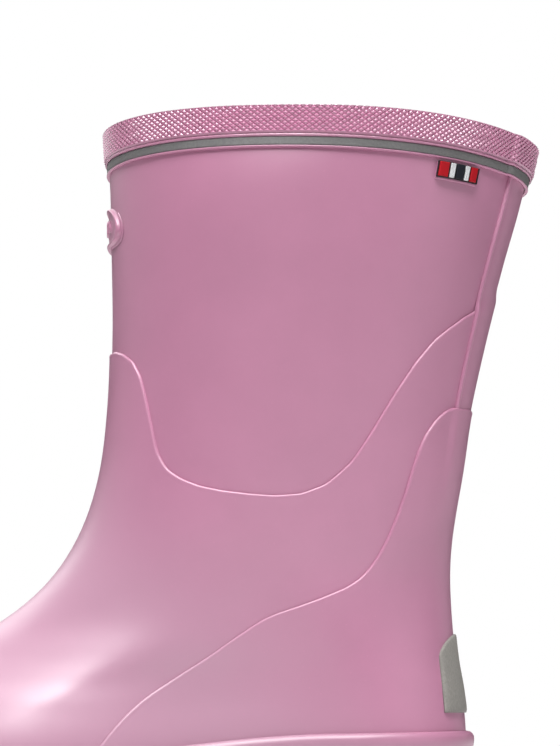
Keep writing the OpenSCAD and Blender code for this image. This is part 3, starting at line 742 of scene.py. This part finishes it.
# ---------------------------------------------------------------- badge, tag, reflector
# The badge's middle and half height as ring numbers, half width as an angle, the same half
# sizes in mm, how far its ends droop, and the heights of its rim and its sunk field in mm.
BADGE_T = 12.415
BADGE_TALL = 0.3
BADGE_WIDE = np.radians(18.2)
BADGE_MM = (15.0, 6.3)
BADGE_DROOP = 0.144
BADGE_RIM = 1.2
BADGE_FIELD = 0.62
# Raindrops on the badge: place across and up, size, mm.
DROPS = [(0, -0.3, 2.3), (6.2, -0.3, 1.6), (-6.2, -0.3, 1.6)]


def badge_relief(r, g):
    """Height of the badge's face: a rim, a sunk field and three raindrops."""
    u, v = BADGE_MM[0] * r * np.cos(g), BADGE_MM[1] * r * np.sin(g)
    h = BADGE_FIELD + (BADGE_RIM - BADGE_FIELD) * np.sqrt(ease((r - 0.84) / 0.09))
    for cx, cy, size in DROPS:
        q = (v - cy) / size
        wide = np.where(q < 0, np.sqrt(np.clip(1 - q**2, 0, 1)),
                        np.clip(1 - q / 1.7, 0, 1)**1.2 * (1 + 0.35 * q))
        inside = (wide - np.abs(u - cx) / size) * (np.abs(q) < 1.7)
        h = h + 0.62 * ease(inside / 0.3) * (r < 0.82)
    return h


def make_badge():
    g = column_angles(220)
    edge = [(1.06, 0.02), (1.055, 0.05), (1.03, 0.09), (1.01, 0.2), (1.0, 0.5), (0.995, 0.85),
            (0.985, 1.02), (0.97, 1.13), (0.95, 1.19), (0.93, BADGE_RIM)]

    def place(r, d):
        across = r * np.sign(np.cos(g)) * np.abs(np.cos(g))**0.72
        t = BADGE_T + BADGE_TALL * r * np.sin(g) - BADGE_DROOP * across**2
        return skin(np.pi - BADGE_WIDE * across, t, d)

    rows = [place(r, np.full_like(g, d)) for r, d in edge]
    radii = np.linspace(0.91, 0.02, 56)
    rows += [place(r, badge_relief(r, g)) for r in radii]
    rows += [place(1e-4, np.full_like(g, badge_relief(np.array(0.0), np.array(0.0))))]
    outer = np.array(rows)
    inner = np.array([place(r, np.full_like(g, 0.02)) for r in (1.16, 0.6, 1e-4)])
    obj = shell("badge_oval", outer, inner)
    dress(obj, M_PINK, BOOT, "front_badge", slot="pink_rubber")


# The side tag: angles of its ends in degrees, ring numbers of its lower and upper edges, and
# in mm the depth of its base, the heights of the plate's and the bars' faces over that, and
# the depth and squared spread of the dimples in the white bars.
TAG_A = (44.3, 59.1)
TAG_T = (12.98, 13.235)
TAG_BASE = 0.4
TAG_PLATE = 0.8
TAG_BAR = 1.3
DIMPLE_DEPTH = 0.16
DIMPLE_SPREAD = 0.012


def tag_piece(name, a0, a1, t0, t1, d0, d1, radius, mat, node, slot, cols=24, rows=14, dots=0):
    """Rounded rectangular plate lying on the leg, with a row of dimples where it has dots."""
    wide = np.linalg.norm(on_ring(np.radians(a0), t0) - on_ring(np.radians(a1), t0))
    tall = np.linalg.norm(on_ring(np.radians(a0), t0) - on_ring(np.radians(a0), t1))

    def spaced(length, n):
        return np.concatenate([[0, 0.25 * radius, 0.6 * radius, radius],
                               np.linspace(radius, length - radius, n)[1:-1],
                               length - np.array([radius, 0.6 * radius, 0.25 * radius, 0])])

    xs, ys = spaced(wide, cols), spaced(tall, rows)
    gx, gy = np.meshgrid(xs, ys)
    inset = np.minimum(np.minimum(gx, wide - gx), np.minimum(gy, tall - gy))
    lift = np.sqrt(np.clip(1 - (1 - np.clip(inset / radius, 0, 1))**2, 0, 1))
    a = np.radians(a0 + (a1 - a0) * gx / wide)
    t = t0 + (t1 - t0) * gy / tall
    top = d1 - radius * 0.8 * (1 - lift)
    for k in range(dots):
        away = (gx - wide / 2)**2 + (gy - tall * (k + 0.7) / (dots + 0.4))**2
        top = top - DIMPLE_DEPTH * np.exp(-away / DIMPLE_SPREAD)
    outer = skin(a, t, top)
    inner = skin(a, t, np.full_like(a, d0))
    return dress(shell(name, outer, inner, False), mat, BOOT, node, slot=slot)


def make_tag():
    a0, a1 = TAG_A
    t0, t1 = TAG_T
    face = TAG_BASE + TAG_PLATE
    tag_piece("tag_base", a0 - 0.3, a1 + 0.05, t0 - 0.03, t1 + 0.005, 0.02, TAG_BASE, 0.2, M_PINK,
              "tag_backing", "pink_rubber")
    tag_piece("tag_plate_black", a0, a1, t0, t1, TAG_BASE + 0.01, face, 0.18, M_BLACK,
              "tag_plate", "tag_black")
    # Each bar's start and end as shares of the tag's length, from its front end.
    bars = [
        ("red_front", 0.01, 0.22, M_RED, "tag_red"),
        ("white_front", 0.26, 0.37, M_WHITE, "tag_white"),
        ("navy", 0.4, 0.585, M_NAVY, "tag_navy"),
        ("white_rear", 0.615, 0.72, M_WHITE, "tag_white"),
        ("red_rear", 0.76, 0.925, M_RED, "tag_red"),
    ]
    for label, f0, f1, mat, slot in bars:
        left, right = a1 + (a0 - a1) * f1, a1 + (a0 - a1) * f0
        tag_piece("bar_" + label, left, right, t0 + 0.012, t1 - 0.014, face, TAG_BASE + TAG_BAR, 0.25,
                  mat, "tag_bar_" + label, slot, 14, 50, 7 if "white" in label else 0)


# The reflector: half angle in degrees, ring numbers of its foot and its sides' tops, rise of
# its round top, thickness in mm.
REFLECTOR_A = 23.5
REFLECTOR_FOOT = 2.3
REFLECTOR_TOP = 4.1
REFLECTOR_ARCH = 0.95
REFLECTOR_THICK = 0.87


def make_reflector():
    g = np.radians(np.linspace(-REFLECTOR_A, REFLECTOR_A, 80))
    share = np.abs(np.degrees(g)) / (REFLECTOR_A + 0.1)
    top = REFLECTOR_TOP + REFLECTOR_ARCH * np.sqrt(np.maximum(1 - share**2.6, 0))
    side = np.sqrt(np.clip((1 - share) / 0.05, 0.05, 1))
    base = 2 * OVERLAY + 0.02

    def row(f, h):
        return skin(g, REFLECTOR_FOOT + (top - REFLECTOR_FOOT) * f, base + h * side)

    lower = [(0, 0.0), (0, 0.55), (0.03, 0.8)]
    upper = [(0.985, 0.8), (1, 0.55), (1, 0.0)]
    face = [(f, REFLECTOR_THICK) for f in (*np.linspace(0.08, 0.92, 16), 0.96)]
    outer = [row(f, h) for f, h in lower + face + upper]
    inner = [row(f, 0.0) for f in np.linspace(0, 1, 8)]
    obj = shell("heel_reflector_plate", np.array(outer), np.array(inner), False)
    dress(obj, M_REFLECT, BOOT, "heel_reflector", slot="reflector")


# ---------------------------------------------------------------- lining
def puff(a, t):
    """Share of the toe puff's thickness under the lining."""
    deg = np.degrees(fold(a))
    return ease((deg - 112) / 22) * ease((4.3 - t) / 1.2) * ease((t - 0.25) / 0.3)


def stiffener(a, t):
    """Share of the heel stiffener's thickness under the lining."""
    deg = np.degrees(fold(a))
    return ease((66 - deg) / 18) * ease((6.6 - t) / 1.4) * ease((t - 0.25) / 0.3)


def make_lining():
    a = column_angles(240)
    for name, node, t0, t1, n in (("leg_lining_knit", "leg_lining", ANKLE, 13.92, 70),
                                  ("foot_lining_knit", "foot_lining", 0.33, ANKLE, 50)):
        outer, inner = [], []
        for t in np.linspace(t0, t1, n):
            ti = np.full_like(a, t)
            d = PLY + 0.05 + STIFFENER * (puff(a, ti) + stiffener(a, ti))
            outer.append(skin(a, ti, -d))
            inner.append(skin(a, ti, -d - LINING))
        dress(shell(name, np.array(outer), np.array(inner)), M_LINING, BOOT, node, slot="lining")


# ---------------------------------------------------------------- foot and sole
def plan(a, d):
    """Feather line moved out level by a distance."""
    q = on_ring(a + 0.003, 0.0) - on_ring(a - 0.003, 0.0)
    n = unit(np.stack([-q[..., 1], q[..., 0], np.zeros(len(q))], -1))
    return on_ring(a, np.zeros_like(a)) + n * np.asarray(d)[..., None]


def feather_z(x):
    """Height of the feather line at a place along the boot."""
    r = RINGS[0]
    s = (x - r[0]) / (r[2] - r[0])
    dip = np.sin(np.pi * np.clip((s - 0.2) / 0.8, 0, 1))
    return r[1] + (r[3] - r[1]) * s - r[10] * dip**2


def level(a, d, z):
    """Ring that follows the feather line at a distance out and a height over it."""
    p = plan(a, np.broadcast_to(d, a.shape))
    p[:, 2] = feather_z(p[:, 0]) + z
    return p


# Ring numbers of the foxing's upper edge and the bumper's lower one.
FOXING_TOP = 1.78
BUMPER_FOOT = 1.8


def foxing_seat(a):
    """Depth of the layers under the foxing: two as far as the counter's end, then one."""
    return OVERLAY * (1 + ease((COUNTER_END + 4 - np.degrees(fold(a))) / 4)) + 0.03


def make_foxing():
    a = column_angles(360)
    seat = foxing_seat(a)
    rows = [level(a, seat, -MIDSOLE + 0.03)]
    rows.append(level(a, seat + FOXING, -MIDSOLE + 0.03))
    rows.append(level(a, seat + FOXING + 0.1, -MIDSOLE + 0.6))
    profile = [
        (0.0, 1.05), (0.3, 1.05), (0.6, 1.03), (0.9, 1.0), (1.12, 0.96), (1.2, 0.8), (1.26, 0.8),
        (1.34, 1.0), (1.5, 1.12), (1.62, 1.1), (1.7, 0.9), (1.75, 0.6), (FOXING_TOP, 0.0),
    ]
    for t, share in profile:
        rows.append(skin(a, np.full_like(a, t), seat + FOXING * share))
    inner = np.array([level(a, seat, -MIDSOLE + 0.03)]
                     + [skin(a, np.full_like(a, t), seat) for t in (0, 0.9, FOXING_TOP)])
    obj = shell("foxing_band", np.array(rows), inner)
    dress(obj, M_FOXING, BOOT, "foxing_strip", slot="foxing_rubber")


def make_bumper():
    a = np.radians(np.linspace(116, 244, 200))
    top = 1.95 + 1.35 * ease((np.degrees(fold(a)) - 110) / 45)
    seat = OVERLAY + 0.03

    def row(f, share):
        return skin(a, BUMPER_FOOT + (top - BUMPER_FOOT) * f, np.full_like(a, seat + BUMPER * share))

    profile = [
        (0, 0.0), (0, 1.0), (0.2, 1.02), (0.4, 1.0), (0.6, 0.98), (0.8, 0.95), (0.9, 0.95),
        (0.95, 1.05), (0.98, 0.9), (1, 0.5), (1, 0.0),
    ]
    rows = [row(f, share) for f, share in profile]
    inner = [row(f, 0.0) for f in (0, 0.5, 1)]
    obj = shell("toe_bumper_strip", np.array(rows), np.array(inner), False)
    dress(obj, M_FOXING, BOOT, "toe_bumper", slot="foxing_rubber")


# How far the sole stands out from the feather line, depth of the tread, pitch and width of
# its bars, in mm.
WELT = OVERLAY + FOXING + 3.2
TREAD = 3.4
TREAD_PITCH = 11.4
TREAD_BAR = 6.6
# Rows of bars under the ball and the heel: x of the first, how many, y and turn of the bars
# on each side of the middle line, their length.
TREAD_ROWS = [(12, 8, 16, 28, 27), (-81, 5, 14, 18, 23)]
# Side of the sole from the tread's roots up: inset, share of the height, step in mm.
SOLE_SIDE = [
    (6, 0, 0), (0.9, 0, 0), (0.35, 0, 0.12), (0.08, 0, 0.4), (0, 0, 0.8), (0, 0.5, 0),
    (0.35, 0.54, 0), (0.35, 0.6, 0), (0, 0.64, 0), (0, 1, -0.8), (0.08, 1, -0.4),
    (0.35, 1, -0.12), (0.9, 1, 0), (6, 1, 0),
]


def under(x):
    """Height of the tread's faces: flat heel and ball, raised waist, toe spring."""
    waist = np.sin(np.pi * np.clip((x + 32) / 44, 0, 1))
    toe = np.clip((x - 66) / 40, 0, 1)
    return 2.4 * waist**2 + 6.5 * toe**2


def sole_ring(a, inset, share, step):
    """Ring around the sole at an inset from its outline and a share of its height."""
    p = plan(a, np.full_like(a, WELT - inset))
    low, high = under(p[:, 0]) + TREAD, feather_z(p[:, 0]) - MIDSOLE
    p[:, 2] = low + (high - low) * share + step
    return p


def tread_bar(x, y, turn, long, edge):
    """Rounded bar of the tread, cut off at the sole's outline."""
    half = len(edge) // 2
    v = np.linspace(-TREAD_BAR / 2, TREAD_BAR / 2, 17)
    u = np.linspace(-long / 2, long / 2, 241)
    px = x + v[:, None] * np.cos(turn) - u * np.sin(turn)
    py = y + v[:, None] * np.sin(turn) + u * np.cos(turn)
    outer = np.interp(px, edge[:half, 0], edge[:half, 1])
    inner = np.interp(px, edge[half:, 0][::-1], edge[half:, 1][::-1])
    inside = (py < outer) & (py > inner) & (px > edge[:, 0].min()) & (px < edge[:, 0].max())
    keep = inside.sum(1) > 12
    if keep.sum() < 6:
        return None
    v, lo = v[keep], np.array([u[row].min() for row in inside[keep]])
    hi = np.array([u[row].max() for row in inside[keep]])
    f = np.concatenate([[0, 0.01, 0.025, 0.05], np.linspace(0.1, 0.9, 13), [0.95, 0.975, 0.99, 1]])
    gu = lo[:, None] + (hi - lo)[:, None] * f
    gv = np.broadcast_to(v[:, None], gu.shape)
    edge_gap = np.minimum(np.minimum(gu - lo[:, None], hi[:, None] - gu),
                          np.minimum(gv - v[0], v[-1] - gv))
    lift = np.sqrt(np.clip(1 - (1 - np.clip(edge_gap / 0.7, 0, 1))**2, 0, 1))
    gx = x + gv * np.cos(turn) - gu * np.sin(turn)
    gy = y + gv * np.sin(turn) + gu * np.cos(turn)
    face = np.stack([gx, gy, under(gx) + 0.6 * (1 - lift)], -1)
    root = np.stack([gx, gy, under(gx) + TREAD + 0.4], -1)
    return shell_mesh(face, root, False)


def make_outsole():
    a = column_angles(360)
    parts = [stack_mesh(np.array([sole_ring(a, *row) for row in SOLE_SIDE]))]
    around = column_angles(720)
    edge = plan(around, np.full_like(around, WELT - 1.5))
    for x0, count, y, turn, long in TREAD_ROWS:
        for i in range(count):
            x = x0 + i * TREAD_PITCH
            for side in (-1, 1):
                bar = tread_bar(x, side * y, math.radians(side * turn), long, edge)
                if bar:
                    parts.append(bar)
    dress(sharpen(joined("outsole_cleated", parts)), M_SOLE, BOOT, "outsole", slot="sole_rubber")


def make_insole():
    a = column_angles(200)
    z = BOARD + 0.3
    foam = [level(a, -INSOLE_IN - 1.0, z), level(a, -INSOLE_IN - 0.5, z + 0.1),
            level(a, -INSOLE_IN - 0.15, z + 0.5), level(a, -INSOLE_IN, z + 1.2),
            level(a, -INSOLE_IN, z + FOAM - 0.2), level(a, -INSOLE_IN - 0.05, z + FOAM)]
    obj = new_object("insole_foam_pad", *stack_mesh(np.array(foam)))
    dress(obj, M_FOAM, INSOLE, "insole_foam", slot="foam")
    z += FOAM + 0.02
    cloth = [level(a, -INSOLE_IN - 0.05, z), level(a, -INSOLE_IN - 0.05, z + 0.35),
             level(a, -INSOLE_IN - 0.3, z + 0.65), level(a, -INSOLE_IN - 0.8, z + 0.78)]
    obj = new_object("insole_cloth_top", *stack_mesh(np.array(cloth)))
    dress(obj, M_INSOLE, INSOLE, "insole_cloth", slot="insole_cloth")


def keep_cad():
    """Inside pieces whose CAD shape is right only take a material."""
    for node, mat in (("foot_ply", M_PINK), ("toe_puff", M_BOARD), ("heel_stiffener", M_BOARD),
                      ("insole_board", M_BOARD), ("midsole", M_FILLER), ("heel_filler", M_FILLER)):
        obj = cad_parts[node]
        obj.data.materials.clear()
        obj.data.materials.append(mat)


# ---------------------------------------------------------------- studio
# The camera looks from low on the outer side, turned a little towards the toe: height and
# distance from its target, and the width of the view at the target, in metres.
CAMERA_TARGET = Vector((-35.2 + SHIFT_X, 0, 131.4)) * MM
CAMERA_DISTANCE = 0.590
CAMERA_HEIGHT = 0.038
CAMERA_ORBIT = math.radians(3.5)
CAMERA_SENSOR = 36
VIEW_WIDTH = 0.1596


def make_camera():
    target = CAMERA_TARGET
    flat = math.sqrt(CAMERA_DISTANCE**2 - (CAMERA_HEIGHT - target.z)**2)
    place = Vector((target.x + flat * math.sin(CAMERA_ORBIT), target.y + flat * math.cos(CAMERA_ORBIT),
                    CAMERA_HEIGHT))
    data = bpy.data.cameras.new("camera")
    data.sensor_fit = "HORIZONTAL"
    data.sensor_width = CAMERA_SENSOR
    data.lens = CAMERA_SENSOR * CAMERA_DISTANCE / VIEW_WIDTH
    data.clip_start = 0.01
    cam = bpy.data.objects.new("camera", data)
    cam.location = place
    cam.rotation_euler = (target - place).to_track_quat("-Z", "Y").to_euler()
    bpy.context.scene.collection.objects.link(cam)
    bpy.context.scene.camera = cam


# Round pale floor: radius in metres, sides of its outline, brightness.
FLOOR_RADIUS = 0.9
FLOOR_SIDES = 64
FLOOR_GREY = 0.74
# Strength of the even light from all round.
AMBIENT = 0.05
# Soft lights: name, place, what it faces, width, height in metres, power in watts.
LIGHTS = [
    ("key", (0.18, 0.95, 1.42), (0, 0, 0.12), 0.4, 0.4, 11.2),
    ("left", (1.0, -0.15, 0.55), (0, 0, 0.12), 0.9, 0.9, 0.7),
    ("top", (-0.02, 0.25, 1.18), (-0.02, 0, 0.1), 0.8, 0.8, 20),
    ("behind", (0.55, -0.8, 0.9), (0, 0, 0.1), 0.9, 0.9, 5.2),
    ("rear", (-0.9, 0.45, 0.5), (0, 0, 0.12), 0.7, 0.7, 1.0),
    ("rim", (-1.0, -0.62, 0.4), (-0.08, 0, 0.13), 0.2, 1.0, 0.35),
]


def area_light(name, place, aim, width, height, power):
    data = bpy.data.lights.new(name, "AREA")
    data.shape = "RECTANGLE"
    data.size = width
    data.size_y = height
    data.energy = power
    obj = bpy.data.objects.new(name, data)
    obj.location = place
    obj.rotation_euler = (Vector(aim) - Vector(place)).to_track_quat("-Z", "Y").to_euler()
    bpy.context.scene.collection.objects.link(obj)


def make_floor():
    angles = [k * 2 * math.pi / FLOOR_SIDES for k in range(FLOOR_SIDES)]
    edge = [(FLOOR_RADIUS * math.cos(a), FLOOR_RADIUS * math.sin(a), 0) for a in angles]
    mesh = bpy.data.meshes.new("floor")
    mesh.from_pydata(edge, [], [tuple(range(FLOOR_SIDES))])
    floor = bpy.data.objects.new("floor", mesh)
    floor.location = (0, 0, -0.0003)
    bpy.context.scene.collection.objects.link(floor)
    floor.data.materials.append(material("floor_white", (FLOOR_GREY,) * 3, 0.7, 0.2)[0])


def make_world():
    """White where the camera sees it, and a weak even light for everything else."""
    world = bpy.data.worlds.new("studio")
    world.use_nodes = True
    nt = world.node_tree
    shade = nt.nodes["Background"]
    seen = nt.nodes.new("ShaderNodeBackground")
    for node, strength in ((shade, AMBIENT), (seen, 1.0)):
        node.inputs["Color"].default_value = (1, 1, 1, 1)
        node.inputs["Strength"].default_value = strength
    path = nt.nodes.new("ShaderNodeLightPath")
    either = nt.nodes.new("ShaderNodeMixShader")
    nt.links.new(path.outputs["Is Camera Ray"], either.inputs["Fac"])
    nt.links.new(shade.outputs[0], either.inputs[1])
    nt.links.new(seen.outputs[0], either.inputs[2])
    nt.links.new(either.outputs[0], nt.nodes["World Output"].inputs["Surface"])
    bpy.context.scene.world = world
    bpy.context.scene.view_settings.view_transform = "Standard"


def make_studio():
    make_floor()
    make_world()
    for light in LIGHTS:
        area_light(*light)


make_camera()
make_leg()
make_vamp()
make_counter()
make_stay()
make_collar_band()
make_tape()
make_knurl()
make_badge()
make_tag()
make_reflector()
make_lining()
make_foxing()
make_bumper()
make_outsole()
make_insole()
keep_cad()
make_studio()
